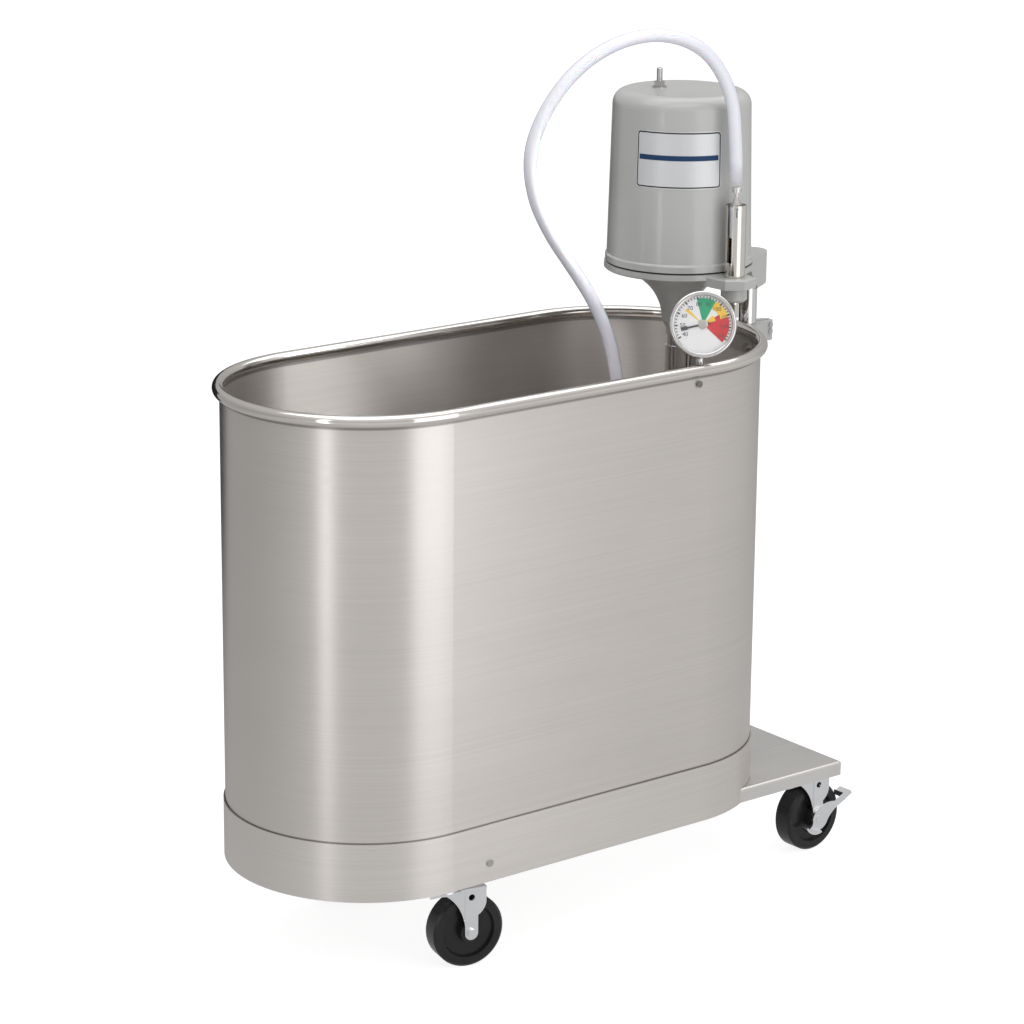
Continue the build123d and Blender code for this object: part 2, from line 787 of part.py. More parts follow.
with BuildPart() as thermometer_stem:
    with BuildSketch(Plane.XY.offset(stem_low)):
        with Locations((stem_x, stem_y)):
            Circle(stem_radius)
    extrude(amount=stem_top - stem_low)

clip_y = -tank_width / 2 + tank_sheet
with BuildPart() as thermometer_clip:
    with BuildSketch(Plane.XY.offset(clip_z - clip_height / 2)):
        with Locations((clip_x - clip_end, clip_y)):
            Rectangle(stem_x - clip_x + clip_end + clip_tail, clip_sheet, align=(Align.MIN, Align.MIN))
        with Locations((stem_x, clip_y)):
            Rectangle(
                2 * stem_radius + 2 * clip_sheet, stem_y - clip_y, align=(Align.CENTER, Align.MIN)
            )
        with Locations((stem_x, stem_y)):
            Circle(stem_radius + clip_sheet)
            Circle(stem_radius + running_gap, mode=Mode.SUBTRACT)
    extrude(amount=clip_height)
    with BuildSketch(clip_plane):
        Circle(clip_screw_radius)
    extrude(amount=-tank_sheet - clip_sheet, mode=Mode.SUBTRACT)

with BuildPart() as clip_screw:
    with BuildSketch(clip_plane):
        Circle(clip_screw_head)
    extrude(amount=clip_screw_head_height)
    with BuildSketch(clip_plane):
        Circle(clip_screw_radius)
    extrude(amount=-tank_sheet - clip_sheet - clip_screw_end)

# Post bracket: curved saddle on the wall, hub with a pinch slit, and an ear for two screws
saddle_inner = end_radius + seat_gap
with BuildPart() as post_bracket:
    with BuildSketch(Plane.XY.offset(saddle_low)):
        with Locations((end_x, 0)):
            Circle(saddle_inner + saddle_plate)
            Circle(saddle_inner, mode=Mode.SUBTRACT)
            Rectangle(tank_width, 2 * saddle_half, align=(Align.MIN, Align.CENTER), mode=Mode.INTERSECT)
    extrude(amount=saddle_top - saddle_low)
    with BuildSketch(Plane.XY.offset(bracket_low)):
        with Locations((post_x, 0)):
            Rectangle(
                post_reach - seat_gap - saddle_plate / 2, 2 * web_half, align=(Align.MAX, Align.CENTER)
            )
    extrude(amount=saddle_top - bracket_low)
    with BuildSketch(Plane.XY.offset(bracket_low)):
        with Locations((post_x, 0)):
            Circle(hub_radius)
            Rectangle(ear_reach - ear_half, 2 * ear_half, align=(Align.MIN, Align.CENTER))
        with Locations((post_x + ear_reach - ear_half, 0)):
            Circle(ear_half)
    extrude(amount=bracket_top - bracket_low)
    with BuildSketch(Plane.XY.offset(bracket_low)):
        with Locations((post_x, 0)):
            Circle(post_radius + running_gap)
            Rectangle(ear_reach * 2, ear_slit, align=(Align.MIN, Align.CENTER))
    extrude(amount=bracket_top - bracket_low, mode=Mode.SUBTRACT)
    with BuildSketch(Plane.XZ.offset(-ear_half)):
        with Locations([(post_x + clamp_screw_reach, z) for z in clamp_screw_heights]):
            Circle(clamp_screw_radius)
    extrude(amount=2 * ear_half, mode=Mode.SUBTRACT)
    with BuildSketch(Plane.XZ.offset(ear_half)):
        with Locations((post_x + ear_reach, bracket_low)):
            Triangle(a=ear_slope, b=ear_slope, C=90, rotation=180, align=(Align.MAX, Align.MIN))
    extrude(amount=-2 * ear_half, mode=Mode.SUBTRACT)
    with BuildSketch(*bolt_planes):
        Circle(bracket_bolt_radius)
    extrude(amount=saddle_plate + hole_reach, mode=Mode.SUBTRACT)

with BuildPart() as clamp_screws:
    with BuildSketch(Plane.XZ.offset(-ear_half)):
        with Locations([(post_x + clamp_screw_reach, z) for z in clamp_screw_heights]):
            Circle(clamp_screw_radius)
    extrude(amount=2 * ear_half)
    with BuildSketch(Plane.XZ.offset(ear_half)):
        with Locations([(post_x + clamp_screw_reach, z) for z in clamp_screw_heights]):
            Circle(clamp_screw_head)
    extrude(amount=clamp_screw_head_height)

head_depth = tank_sheet + 2 * seat_gap + strip_sheet
head_planes = [plane.offset(-head_depth) for plane in bolt_planes]
nut_planes = [plane.offset(seat_gap + saddle_plate) for plane in bolt_planes]
with BuildPart() as bracket_bolts:
    with BuildSketch(*head_planes):
        Circle(bracket_bolt_head)
    extrude(amount=-bracket_bolt_head_height)
    with BuildSketch(*head_planes):
        Circle(bracket_bolt_radius)
    extrude(amount=head_depth + seat_gap + saddle_plate + bracket_nut_height + bracket_bolt_end)
    with BuildSketch(*nut_planes):
        RegularPolygon(bracket_nut_across / 2, 6, major_radius=False)
    extrude(amount=bracket_nut_height)

with BuildPart() as backing_strip:
    with BuildSketch(Plane.XY.offset(bracket_bolt_z - strip_height / 2)):
        with Locations((end_x, 0)):
            Circle(inner_radius - seat_gap)
            Circle(inner_radius - seat_gap - strip_sheet, mode=Mode.SUBTRACT)
            Rectangle(tank_width, 2 * strip_half, align=(Align.MIN, Align.CENTER), mode=Mode.INTERSECT)
    extrude(amount=strip_height)
    with BuildSketch(*bolt_planes):
        Circle(bracket_bolt_radius)
    extrude(amount=-head_depth - hole_reach, mode=Mode.SUBTRACT)

# Post with its stop collar, which meets the bracket at the top of the lift
collar_top = bracket_low - lift_travel - loose_gap
with BuildPart() as post:
    with BuildSketch(Plane.XY.offset(post_low)):
        with Locations((post_x, 0)):
            Circle(post_radius)
    extrude(amount=post_top - post_low)

with BuildPart() as stop_collar:
    with BuildSketch(Plane.XY.offset(collar_top - collar_height)):
        with Locations((post_x, 0)):
            Circle(collar_radius)
            Circle(post_radius, mode=Mode.SUBTRACT)
            Rectangle(collar_radius * 2, ear_slit, align=(Align.MIN, Align.CENTER), mode=Mode.SUBTRACT)
    extrude(amount=collar_height)

# Turbine casting: flange and bell neck, arm to the post, lug with a boss
turbine_axis = Axis((turbine_x, 0, 0), (0, 0, 1))
bearing_seat = flange_top + spigot_height - bearing_height
bell = [(turbine_x + radius, flange_low - drop) for drop, radius in bell_profile]
root_x = turbine_x + arm_root_reach
with BuildPart() as turbine_casting:
    with BuildSketch(Plane.XY.offset(arm_low)):
        with Locations((post_x, 0)):
            Circle(arm_hub_radius)
        with Locations((root_x, 0)):
            Rectangle(arm_root_depth, 2 * arm_root_half)
        make_hull()
    extrude(amount=arm_top - arm_low)
    fillet(turbine_casting.faces().sort_by(Axis.Z)[0].edges().sort_by(Axis.X)[2:], arm_round)
    with BuildSketch(Plane.XZ.offset(arm_root_half * 2)):
        Polygon(
            (turbine_x, arm_low - arm_round), (root_x + arm_drop, arm_low - arm_round), (root_x, flange_low),
            (turbine_x, flange_low), align=None,
        )
    extrude(amount=-arm_root_half * 4, mode=Mode.SUBTRACT)
    with BuildSketch(Plane.XZ):
        with BuildLine():
            Polyline(
                (turbine_x, flange_top + spigot_height),
                (turbine_x, neck_end),
                (turbine_x + neck_tip_radius, neck_end),
                (turbine_x + neck_radius, neck_end + neck_round),
                bell[4],
            )
            ThreePointArc(bell[4], bell[3], bell[2])
            ThreePointArc(bell[2], bell[1], bell[0])
            Polyline(
                bell[0],
                (turbine_x + flange_radius - flange_edge, flange_low),
                (turbine_x + flange_radius, flange_low + flange_edge),
                (turbine_x + flange_radius, flange_top),
                (turbine_x + spigot_radius, flange_top),
                (turbine_x + spigot_radius, flange_top + spigot_height),
                (turbine_x, flange_top + spigot_height),
            )
        make_face()
    revolve(axis=turbine_axis)
    for low, height, taper in ((lug_low, lug_sheet - lug_bevel, 0), (lug_top - lug_bevel, lug_bevel, 45)):
        with BuildSketch(Plane.XY.offset(low)):
            Polygon(*[(lug_x + dx, y) for dx, y in lug_corners], align=None)
        extrude(amount=height, taper=taper)
    with BuildSketch(Plane.XY.offset(boss_low + boss_bevel)) as boss_circle:
        with Locations((lug_x, lug_y)):
            Circle(boss_radius)
    extrude(amount=boss_length - boss_bevel)
    extrude(boss_circle.sketch, amount=-boss_bevel, taper=45)
    with BuildSketch(Plane.XY.offset(boss_low)):
        with Locations((lug_x, lug_y)):
            Circle(nipple_shoulder)
    extrude(amount=flange_top - boss_low, mode=Mode.SUBTRACT)
    with BuildSketch(Plane.XY.offset(arm_low)):
        with Locations((post_x, 0)):
            Circle(bush_radius + fit_gap)
    extrude(amount=post_top - arm_low, mode=Mode.SUBTRACT)
    with BuildSketch(Plane.XY.offset(neck_end)):
        with Locations((turbine_x, 0)):
            Circle(column_neck + fit_gap)
    extrude(amount=column_socket, mode=Mode.SUBTRACT)
    with BuildSketch(Plane.XY.offset(neck_end)):
        with Locations((turbine_x + riser_dx, riser_dy)):
            Circle(riser_radius + fit_gap)
    extrude(amount=riser_top - neck_end, mode=Mode.SUBTRACT)
    with BuildSketch(Plane.XY.offset(neck_end)):
        with Locations((turbine_x, 0)):
            Circle(shaft_radius + shaft_room)
    extrude(amount=bearing_seat - neck_end, mode=Mode.SUBTRACT)
    with BuildSketch(Plane.XY.offset(bearing_seat)):
        with Locations((turbine_x, 0)):
            Circle(bearing_radius + fit_gap)
    extrude(amount=bearing_height, mode=Mode.SUBTRACT)
    with BuildSketch(Plane.XY.offset(gland_seat)):
        with Locations((turbine_x + gland_dx, gland_dy)):
            Circle(gland_stem)
    extrude(amount=flange_sheet + spigot_height, mode=Mode.SUBTRACT)

with BuildPart() as post_bush:
    with BuildSketch(Plane.XY.offset(arm_low)):
        with Locations((post_x, 0)):
            Circle(bush_radius)
            Circle(post_radius + running_gap, mode=Mode.SUBTRACT)
    extrude(amount=bush_length)

with BuildPart() as cord_gland:
    with BuildSketch(Plane.XY.offset(gland_seat - gland_length)):
        with Locations((turbine_x + gland_dx, gland_dy)):
            RegularPolygon(gland_radius, 6, major_radius=False)
    extrude(amount=gland_length)
    with BuildSketch(Plane.XY.offset(gland_seat)):
        with Locations((turbine_x + gland_dx, gland_dy)):
            Circle(gland_stem - fit_gap)
    extrude(amount=gland_stem_length)
    with BuildSketch(Plane.XY.offset(gland_seat - gland_length)):
        with Locations((turbine_x + gland_dx, gland_dy)):
            Circle(gland_bore)
    extrude(amount=gland_length + gland_stem_length, mode=Mode.SUBTRACT)

with BuildPart() as boss_plug:
    with BuildSketch(Plane.XY.offset(plug_low)):
        with Locations((lug_x, lug_y)):
            RegularPolygon(plug_across / 2, 6, major_radius=False)
    extrude(amount=plug_length)
    with BuildSketch(Plane.XY.offset(boss_low)):
        with Locations((lug_x, lug_y)):
            Circle(plug_ring)
    extrude(amount=-plug_ring_height)
    with BuildSketch(Plane.XY.offset(boss_low)):
        with Locations((lug_x, lug_y)):
            Circle(nipple_shoulder - fit_gap)
    extrude(amount=plug_stem)

# Motor cover on its gasket, held by one stud and a nut
with BuildPart() as motor_cover:
    with BuildSketch(Plane.XZ):
        with BuildLine():
            Polyline(
                (turbine_x, cover_low),
                (turbine_x + cover_foot_radius, cover_low),
                (turbine_x + cover_foot_radius, cover_foot_top - cover_wall),
                (turbine_x + cover_side_radius, cover_foot_top),
                (turbine_x + cover_top_radius, cover_top),
                (turbine_x, cover_top),
                close=True,
            )
        make_face()
    revolve(axis=turbine_axis)
    fillet(motor_cover.faces().sort_by(Axis.Z)[-1].edges(), cover_round)
    with BuildSketch(Plane.XZ):
        with BuildLine():
            Polyline(
                (turbine_x, cover_low),
                (turbine_x + cover_side_radius - cover_wall, cover_low),
                (turbine_x + cover_top_radius - cover_wall, cover_top - cover_round),
                (turbine_x + cover_top_radius - cover_round, cover_top - cover_wall),
                (turbine_x, cover_top - cover_wall),
                close=True,
            )
        make_face()
    revolve(axis=turbine_axis, mode=Mode.SUBTRACT)
    with BuildSketch(Plane.XY.offset(cover_top - 2 * cover_wall)):
        with Locations((turbine_x + stud_dx, stud_dy)):
            Circle(stud_radius + screw_gap)
    extrude(amount=3 * cover_wall, mode=Mode.SUBTRACT)

with BuildPart() as cover_gasket:
    with BuildSketch(Plane.XY.offset(flange_top)):
        with Locations((turbine_x, 0)):
            Circle(cover_foot_radius - gasket_inset)
            Circle(spigot_radius + loose_gap, mode=Mode.SUBTRACT)
    extrude(amount=cover_low - flange_top)

with BuildPart() as cover_stud:
    with BuildSketch(Plane.XY.offset(bridge_low)):
        with Locations((turbine_x + stud_dx, stud_dy)):
            Circle(stud_radius)
    extrude(amount=cover_top + stud_above - bridge_low)
    chamfer(cover_stud.edges().sort_by(Axis.Z)[-1], stud_bevel)

with BuildPart() as cover_nut:
    with BuildSketch(Plane.XY.offset(cover_top)):
        with Locations((turbine_x + stud_dx, stud_dy)):
            Circle(cover_washer_radius)
    extrude(amount=cover_washer)
    with BuildSketch(Plane.XY.offset(cover_top + cover_washer)):
        with Locations((turbine_x + stud_dx, stud_dy)):
            RegularPolygon(cover_nut_across / 2, 6, major_radius=False)
    extrude(amount=cover_nut_height)
    with BuildSketch(Plane.XY.offset(cover_top)):
        with Locations((turbine_x + stud_dx, stud_dy)):
            Circle(stud_radius + fit_gap)
    extrude(amount=cover_washer + cover_nut_height, mode=Mode.SUBTRACT)

# Motor: stator on the casting's spigot, rotor on its shaft, two bearings and the bridge over the top
with BuildPart() as motor_stator:
    with BuildSketch(Plane.XY.offset(stator_low)):
        with Locations((turbine_x, 0)):
            Circle(stator_radius)
            Rectangle(stator_across, stator_across, mode=Mode.INTERSECT)
            Circle(stator_bore, mode=Mode.SUBTRACT)
    extrude(amount=stator_height)

with BuildPart() as motor_rotor:
    with BuildSketch(Plane.XY.offset(stator_low + rotor_end)):
        with Locations((turbine_x, 0)):
            Circle(stator_bore - rotor_air_gap)
            Circle(shaft_radius, mode=Mode.SUBTRACT)
    extrude(amount=stator_height - 2 * rotor_end)

with BuildPart() as motor_shaft:
    with BuildSketch(Plane.XY.offset(impeller_low)):
        with Locations((turbine_x, 0)):
            Circle(shaft_radius)
    extrude(amount=upper_bearing_low + bearing_height + shaft_end - impeller_low)

with BuildPart() as motor_bearings:
    with BuildSketch(Plane.XY.offset(bearing_seat), Plane.XY.offset(upper_bearing_low)):
        with Locations((turbine_x, 0)):
            Circle(bearing_radius)
            Circle(shaft_radius + running_gap, mode=Mode.SUBTRACT)
    extrude(amount=bearing_height)

with BuildPart() as bearing_bridge:
    with BuildSketch(Plane.XY.offset(bridge_low)):
        with Locations((turbine_x, 0)):
            Rectangle(bridge_length, bridge_width)
    extrude(amount=bridge_sheet)
    with BuildSketch(Plane.XY.offset(stator_low + stator_height)):
        with Locations(
            (turbine_x - (bridge_length - bridge_leg) / 2, 0),
            (turbine_x + (bridge_length - bridge_leg) / 2, 0),
        ):
            Rectangle(bridge_leg, bridge_width)
    extrude(amount=bridge_rise)
    with BuildSketch(Plane.XY.offset(upper_bearing_low)):
        with Locations((turbine_x, 0)):
            Circle(bridge_hub)
    extrude(amount=bearing_height)
    with BuildSketch(Plane.XY.offset(bridge_low)):
        with Locations((turbine_x, 0)):
            Circle(bearing_radius + fit_gap)
        with Locations((turbine_x + stud_dx, stud_dy)):
            Circle(stud_radius + fit_gap)
    extrude(amount=2 * bearing_height, mode=Mode.SUBTRACT)

# Column tube with its nut, riser tube, pump housing and impeller
column_low = pump_top + column_step
with BuildPart() as column_tube:
    with BuildSketch(Plane.XY.offset(column_low)):
        with Locations((turbine_x, 0)):
            Circle(column_radius)
    extrude(amount=column_shoulder - column_low)
    with BuildSketch(Plane.XY.offset(column_shoulder)):
        with Locations((turbine_x, 0)):
            Circle(column_neck)
    extrude(amount=neck_end + column_socket - column_shoulder)
    with BuildSketch(Plane.XY.offset(column_low)):
        with Locations((turbine_x, 0)):
            Circle(column_neck - column_wall)
    extrude(amount=neck_end + column_socket - column_low, mode=Mode.SUBTRACT)

with BuildPart() as column_nut:
    with BuildSketch(Plane.XY.offset(collar_nut_low)):
        with Locations((turbine_x, 0)):
            Circle(collar_nut_radius)
            Circle(column_neck + fit_gap, mode=Mode.SUBTRACT)
    extrude(amount=neck_end - collar_nut_low)

with BuildPart() as riser_tube:
    with BuildSketch(Plane.XY.offset(pump_top)):
        with Locations((turbine_x + riser_dx, riser_dy)):
            Circle(riser_radius)
            Circle(riser_radius - riser_wall, mode=Mode.SUBTRACT)
    extrude(amount=riser_top - pump_top)

with BuildPart() as pump_housing:
    with BuildSketch(Plane.XY.offset(pump_low)):
        with Locations((turbine_x, 0)):
            Circle(pump_radius)
    extrude(amount=pump_top - pump_low)
    chamfer(pump_housing.faces().sort_by(Axis.Z)[-1].edges(), pump_chamfer)
    with BuildSketch(Plane.XY.offset(pump_top - pump_chamfer)):
        with Locations((turbine_x, 0)):
            Circle(pump_shoulder)
    extrude(amount=pump_chamfer + pump_collar)
    with BuildSketch(Plane((turbine_x, 0, jet_z), x_dir=(0, 1, 0), z_dir=(-1, 0, 0))):
        Circle(jet_radius)
    extrude(amount=jet_reach)
    with BuildSketch(Plane.XY.offset(pump_low + pump_floor)):
        with Locations((turbine_x, 0)):
            Circle(pump_radius - pump_wall)
    extrude(amount=pump_top - pump_chamfer - pump_wall - pump_low - pump_floor, mode=Mode.SUBTRACT)
    with BuildSketch(Plane((turbine_x, 0, jet_z), x_dir=(0, 1, 0), z_dir=(-1, 0, 0))):
        Circle(jet_radius - pump_wall)
    extrude(amount=jet_reach, mode=Mode.SUBTRACT)
    with BuildSketch(Plane.XY.offset(pump_low)):
        with Locations((turbine_x, 0)):
            Circle(pump_intake)
    extrude(amount=pump_floor, mode=Mode.SUBTRACT)
    with BuildSketch(Plane.XY.offset(column_low)):
        with Locations((turbine_x, 0)):
            Circle(column_radius + fit_gap)
    extrude(amount=pump_collar, mode=Mode.SUBTRACT)
    with BuildSketch(Plane.XY.offset(pump_low)):
        with Locations((turbine_x, 0)):
            Circle(shaft_radius + pump_shaft_room)
    extrude(amount=pump_top - pump_low + pump_collar, mode=Mode.SUBTRACT)
    with BuildSketch(Plane.XY.offset(pump_top - pump_chamfer - pump_wall)):
        with Locations((turbine_x + riser_dx, riser_dy)):
            Circle(riser_radius - riser_wall)
    extrude(amount=pump_chamfer + pump_wall, mode=Mode.SUBTRACT)

with BuildPart() as impeller:
    with BuildSketch(Plane.XY.offset(impeller_low)):
        with Locations((turbine_x, 0)):
            Circle(impeller_hub)
            with PolarLocations((impeller_radius + impeller_hub - blade_root) / 2, blade_count):
                Rectangle(impeller_radius - impeller_hub + blade_root, blade_sheet, rotation=blade_angle)
    extrude(amount=impeller_height)
    with BuildSketch(Plane.XY.offset(impeller_low + impeller_height)):
        with Locations((turbine_x, 0)):
            Circle(impeller_radius)
    extrude(amount=blade_sheet)
    with BuildSketch(Plane.XY.offset(impeller_low)):
        with Locations((turbine_x, 0)):
            Circle(shaft_radius)
    extrude(amount=impeller_height + blade_sheet, mode=Mode.SUBTRACT)

# Selector sleeve, which turns on the nipple's base
def sleeve_side(angle):
    """Upright plane through the sleeve's axis that faces out at an angle from +X."""
    turn = math.radians(angle)
    out = Vector(math.cos(turn), math.sin(turn), 0)
    return Plane(origin=(lug_x, lug_y, 0), x_dir=(-out.Y, out.X, 0), z_dir=out)


with BuildPart() as valve_sleeve:
    with BuildSketch(Plane.XY.offset(lug_top + loose_gap)):
        with Locations((lug_x, lug_y)):
            Circle(sleeve_radius)
            Circle(sleeve_radius - sleeve_wall, mode=Mode.SUBTRACT)
    extrude(amount=sleeve_top - lug_top - loose_gap)
    with BuildSketch(sleeve_side(sleeve_slot_angle)):
        Polygon(
            (0, sleeve_slot_low),
            (sleeve_slot / 2, sleeve_slot_low + sleeve_wedge),
            (sleeve_slot / 2, sleeve_top),
            (-sleeve_slot / 2, sleeve_top), (-sleeve_slot / 2, sleeve_slot_low + sleeve_wedge), align=None,
        )
    extrude(amount=sleeve_radius, mode=Mode.SUBTRACT)
    with BuildSketch(sleeve_side(keyhole_angle)):
        with Locations((0, keyhole_z)):
            Circle(keyhole_radius)
            Rectangle(keyhole_tail_width, keyhole_tail, align=(Align.CENTER, Align.MAX))
    extrude(amount=sleeve_radius, mode=Mode.SUBTRACT)

nipple_axis = Axis((lug_x, lug_y, 0), (0, 0, 1))
lip_low = nipple_top - nipple_lip_height
waist_low = lip_low - nipple_waist_length
with BuildPart() as hose_nipple:
    with BuildSketch(Plane.XZ.offset(-lug_y)):
        with BuildLine():
            Polyline(
                (lug_x, lug_top - nipple_base),
                (lug_x + nipple_shoulder - fit_gap, lug_top - nipple_base),
                (lug_x + nipple_shoulder - fit_gap, lug_top),
                (lug_x + sleeve_radius - sleeve_wall - running_gap, lug_top),
                (lug_x + sleeve_radius - sleeve_wall - running_gap, lug_top + nipple_base),
                (lug_x + nipple_shoulder, lug_top + nipple_base),
                (lug_x + nipple_shoulder, nipple_seat),
                (lug_x + nipple_radius, nipple_seat),
                (lug_x + nipple_radius, waist_low - nipple_cone),
                (lug_x + nipple_waist, waist_low),
                (lug_x + nipple_waist, lip_low),
                (lug_x + nipple_lip, lip_low + nipple_lip_bevel),
                (lug_x + nipple_lip, nipple_top - nipple_lip_bevel),
                (lug_x + nipple_lip - nipple_lip_bevel, nipple_top),
                (lug_x, nipple_top),
                close=True,
            )
        make_face()
    revolve(axis=nipple_axis)

# Hose: runs and arcs from the nipple over the motor and down into the tank
hose_route = [
    (241, -119, 927), (241, -119, 992), (237, -119, 1058), (235, -112, 1124), (206, -93, 1181),
    (147, -79, 1206), (82, -66, 1202), (24, -51, 1173), (-18, -37, 1124), (-42, -25, 1063),
    (-30, -18, 998), (3, -14, 942), (45, -12, 891), (85, -10, 839), (116, -8, 781),
    (131, -8, 717), (138, -8, 652), (138, -8, 586), (135, -6, 521), (129, -6, 455), (125, -5, 390),
]
hose_points = [Vector(*point) for point in hose_route]
hose_radii = []
for before, corner, after in zip(hose_points, hose_points[1:], hose_points[2:]):
    turn = (corner - before).get_angle(after - corner)
    shorter = min((corner - before).length, (after - corner).length)
    hose_radii.append(0.45 * shorter / math.tan(math.radians(turn / 2)))
with BuildLine() as hose_path:
    FilletPolyline(*hose_points, radius=hose_radii)
hose_line = hose_path.wire()
with BuildPart() as hose:
    with BuildSketch(Plane(origin=hose_line @ 0, z_dir=hose_line % 0)):
        Circle(hose_radius)
    sweep(path=hose_line)
    hose_volume = hose.part.volume
    for end, along, depth in (
        (hose_line @ 0, hose_line % 0, nipple_top + hose_bore_end - nipple_seat),
        (hose_line @ 1, -(hose_line % 1), hose_mouth),
    ):
        with BuildSketch(Plane(origin=end, z_dir=along)):
            Circle(hose_bore)
        extrude(amount=depth, mode=Mode.SUBTRACT)
print("hose length", round(hose_line.length, 1), "radii", [round(radius) for radius in hose_radii])
hose_expected = math.pi * hose_radius**2 * hose_line.length
print("hose volume", round(hose_volume), "section times length", round(hose_expected))

pieces |= {
    "tank_shell": tank_shell.part,
    "base_skirt": base_skirt.part,
    "skirt_screws": skirt_screws.part,
    "platform": platform.part,
    "rear_saddle": rear_saddle.part,
    "drain_body": drain_body.part,
    "drain_nut": drain_nut.part,
    "drain_stopper": drain_stopper.part,
    "thermometer_case": thermometer_case.part,
    "thermometer_dial": thermometer_dial.part,
    "thermometer_lens": thermometer_lens.part,
    "thermometer_pointer": thermometer_pointer.part,
    "thermometer_stem": thermometer_stem.part,
    "thermometer_clip": thermometer_clip.part,
    "clip_screw": clip_screw.part,
    "post_bracket": post_bracket.part,
    "clamp_screws": clamp_screws.part,
    "bracket_bolts": bracket_bolts.part,
    "backing_strip": backing_strip.part,
    "post": post.part,
    "stop_collar": stop_collar.part,
    "turbine_casting": turbine_casting.part,
    "post_bush": post_bush.part,
    "cord_gland": cord_gland.part,
    "boss_plug": boss_plug.part,
    "motor_cover": motor_cover.part,
    "cover_gasket": cover_gasket.part,
    "cover_stud": cover_stud.part,
    "cover_nut": cover_nut.part,
    "motor_stator": motor_stator.part,
    "motor_rotor": motor_rotor.part,
    "motor_shaft": motor_shaft.part,
    "motor_bearings": motor_bearings.part,
    "bearing_bridge": bearing_bridge.part,
    "column_tube": column_tube.part,
    "column_nut": column_nut.part,
    "riser_tube": riser_tube.part,
    "pump_housing": pump_housing.part,
    "impeller": impeller.part,
    "valve_sleeve": valve_sleeve.part,
    "hose_nipple": hose_nipple.part,
    "hose": hose.part,
}

os.makedirs("parts", exist_ok=True)
for name, piece in pieces.items():
    piece.label = name
    export_step(piece, f"parts/{name}.step")
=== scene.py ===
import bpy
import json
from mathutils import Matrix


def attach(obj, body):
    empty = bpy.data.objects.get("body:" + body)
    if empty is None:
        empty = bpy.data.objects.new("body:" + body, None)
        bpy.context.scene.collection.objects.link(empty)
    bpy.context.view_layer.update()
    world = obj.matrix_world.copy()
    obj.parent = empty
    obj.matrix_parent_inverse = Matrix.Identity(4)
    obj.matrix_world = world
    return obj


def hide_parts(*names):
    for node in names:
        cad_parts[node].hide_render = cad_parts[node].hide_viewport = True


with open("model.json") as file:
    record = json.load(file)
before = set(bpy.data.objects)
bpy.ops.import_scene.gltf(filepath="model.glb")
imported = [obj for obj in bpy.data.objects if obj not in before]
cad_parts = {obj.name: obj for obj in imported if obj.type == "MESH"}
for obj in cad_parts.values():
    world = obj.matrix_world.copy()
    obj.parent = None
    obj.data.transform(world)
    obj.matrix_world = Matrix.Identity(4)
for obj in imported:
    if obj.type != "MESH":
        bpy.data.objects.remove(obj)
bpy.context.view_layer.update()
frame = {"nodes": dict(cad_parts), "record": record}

import json
import math

import bpy
from mathutils import Matrix, Vector

nodes = frame["nodes"]
scene = bpy.context.scene
scene.view_settings.view_transform = "Standard"

# Places and sizes on the solids, in metres
tub_x = -0.072
turbine_x = 0.243
rim_z = 0.7656                  # the wall's polished bead starts here
rim_rough = 0.13
dial_centre = Vector((0.133, -0.180, 0.832))
dial_normal = Vector((-0.592, -0.758, 0.2744)).normalized()
dial_right = Vector((0.788, -0.6157, 0)).normalized()
dial_up = dial_normal.cross(dial_right)
dial_face = 0.00112             # just proud of the dial's sheet
stem_foot = Vector((0.131, -0.178, 0.7618))   # top of the clip that holds the stem
cover_foot = (0.8885, 0.1000)   # height and radius
cover_head = (1.114, 0.0947)

# Heights where a change in a material starts, is full, is full no more and ends
# painted shade: the wall's colour is darkened at the root of the rim bead, where the crevice's shade
# falls
rim_root_painted_shade = (0.76136, 0.76296, 0.76584, 0.76680)
# painted shade: the wall's colour is darkened at the skirt's edge, where the gap's shade falls
skirt_edge_painted_shade = (0.2096, 0.2100, 0.2116, 0.2124)
hose_clear_stretch = (0.968, 0.972, 0.998, 1.030)
hose_clear_side = (0.215, 0.225)   # X from which the stretch starts to clear, and is clear


def add_object(name, data):
    """A new object in the scene."""
    made = bpy.data.objects.new(name, data)
    scene.collection.objects.link(made)
    return made


def turned_to(place, right, up, back):
    """The matrix of an object at a place, with its X, Y and Z along three directions."""
    return Matrix.Translation(place) @ Matrix((right, up, back)).transposed().to_4x4()


def facing(place, target):
    """The matrix of a lamp or board at a place that faces a target."""
    look = Vector(target) - Vector(place)
    return Matrix.Translation(place) @ look.to_track_quat("-Z", "Y").to_matrix().to_4x4()


# Camera, solved from the tank's outline in the photograph
camera_place = Vector((-2.7939, -3.5192, 1.8359))
camera_look = Vector((0.59189, 0.75786, -0.27443)).normalized()
camera_roll = math.radians(0.50)
level = camera_look.cross(Vector((0, 0, 1))).normalized()
above = level.cross(camera_look)
camera_right = level * math.cos(camera_roll) + above * math.sin(camera_roll)
camera_up = camera_right.cross(camera_look)
camera_data = bpy.data.cameras.new("camera")
camera_data.sensor_width = 36.0
camera_data.lens = 120.16
camera = add_object("camera", camera_data)
camera.matrix_world = turned_to(camera_place, camera_right, camera_up, -camera_look)
scene.camera = camera


# Shader nodes
def feed(tree, node, *ordered, **named):
    """Give a node's inputs, in their order or by name, a socket, a colour or a number."""
    pairs = list(zip(node.inputs, ordered))
    pairs += [(node.inputs[key.replace("_", " ")], value) for key, value in named.items()]
    for socket, value in pairs:
        if isinstance(value, bpy.types.NodeSocket):
            tree.links.new(value, socket)
        elif socket.type == "RGBA":
            socket.default_value = (*value, 1.0)
        else:
            socket.default_value = value
    return node


def add_node(tree, kind, *ordered, **named):
    """A new shader node with its inputs fed."""
    return feed(tree, tree.nodes.new(f"ShaderNode{kind}"), *ordered, **named)


